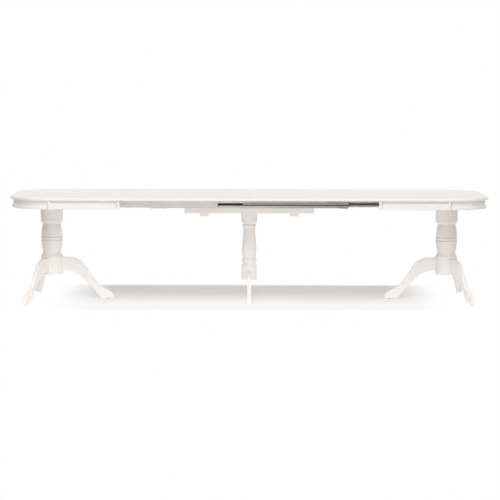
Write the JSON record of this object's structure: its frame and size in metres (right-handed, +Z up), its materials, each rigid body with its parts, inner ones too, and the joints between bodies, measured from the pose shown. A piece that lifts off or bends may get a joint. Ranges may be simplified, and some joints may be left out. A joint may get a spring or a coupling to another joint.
{
  "type": "extending double pedestal dining table",
  "caption": "Long white dining table with rounded ends on turned pedestals with shaped feet; ends slide apart on wooden rails and loose leaves lift out over a middle leg.",
  "frame": {"origin": "on the floor, below the middle of the table", "axes": "+X along the table to the right, +Y to the back, +Z up"},
  "size_m": [3.384, 1, 0.76],
  "materials": {
    "painted_wood": "satin white lacquer",
    "pale_wood": "white stained, open grain",
    "bare_wood": "bare, waxed",
    "black_plastic": "matte",
    "zinc_steel": "zinc plated"
  },
  "bodies": {
    "leaf_1": {"leaf_1": "painted_wood", "leaf_1_battens": "pale_wood"},
    "leaf_2": {"leaf_2": "painted_wood", "leaf_2_battens": "pale_wood"},
    "leaf_3": {"leaf_3": "painted_wood", "leaf_3_battens": "pale_wood"},
    "leaf_4": {"leaf_4": "painted_wood", "leaf_4_battens": "pale_wood"},
    "left_end": {"left_apron_blocks": "painted_wood", "left_back_apron": "painted_wood", "left_back_corner_apron": "painted_wood", "left_back_foot": "painted_wood", "left_back_rail": "pale_wood", "left_cross_bearers": "pale_wood", "left_end_apron": "painted_wood", "left_foot_glides": "black_plastic", "left_front_apron": "painted_wood", "left_front_corner_apron": "painted_wood", "left_front_foot": "painted_wood", "left_front_rail": "pale_wood", "left_inner_foot": "painted_wood", "left_pedestal_column": "painted_wood", "left_pedestal_plate": "pale_wood", "left_screws": "zinc_steel", "left_top": "painted_wood"},
    "middle": {"leg_back_board": "painted_wood", "leg_back_foot": "painted_wood", "leg_battens": "painted_wood", "leg_column": "painted_wood", "leg_foot_glides": "black_plastic", "leg_front_board": "painted_wood", "leg_front_foot": "painted_wood", "leg_plate": "painted_wood", "middle_back_rail": "pale_wood", "middle_front_rail": "pale_wood", "middle_rail_runners": "bare_wood", "middle_rail_tongues": "bare_wood", "middle_screws": "zinc_steel", "middle_ties": "painted_wood"},
    "right_end": {"right_apron_blocks": "painted_wood", "right_back_apron": "painted_wood", "right_back_corner_apron": "painted_wood", "right_back_foot": "painted_wood", "right_back_rail": "pale_wood", "right_cross_bearers": "pale_wood", "right_end_apron": "painted_wood", "right_foot_glides": "black_plastic", "right_front_apron": "painted_wood", "right_front_corner_apron": "painted_wood", "right_front_foot": "painted_wood", "right_front_rail": "pale_wood", "right_inner_foot": "painted_wood", "right_pedestal_column": "painted_wood", "right_pedestal_plate": "pale_wood", "right_rail_stops": "bare_wood", "right_screws": "zinc_steel", "right_top": "painted_wood"}
  },
  "joints": [
    {"name": "left_end_slide", "type": "slide", "parent": "middle", "child": "left_end", "axis": [-1, 0, 0], "range_m": [0, 0.075]},
    {"name": "right_end_slide", "type": "slide", "parent": "middle", "child": "right_end", "axis": [1, 0, 0], "range_m": [0, 0.075]},
    {"name": "leaf_1_lift", "type": "slide", "parent": "middle", "child": "leaf_1", "axis": [0, 0, 1], "range_m": [0, 0.25]},
    {"name": "leaf_2_lift", "type": "slide", "parent": "middle", "child": "leaf_2", "axis": [0, 0, 1], "range_m": [0, 0.25]},
    {"name": "leaf_3_lift", "type": "slide", "parent": "middle", "child": "leaf_3", "axis": [0, 0, 1], "range_m": [0, 0.25]},
    {"name": "leaf_4_lift", "type": "slide", "parent": "middle", "child": "leaf_4", "axis": [0, 0, 1], "range_m": [0, 0.25]}
  ]
}
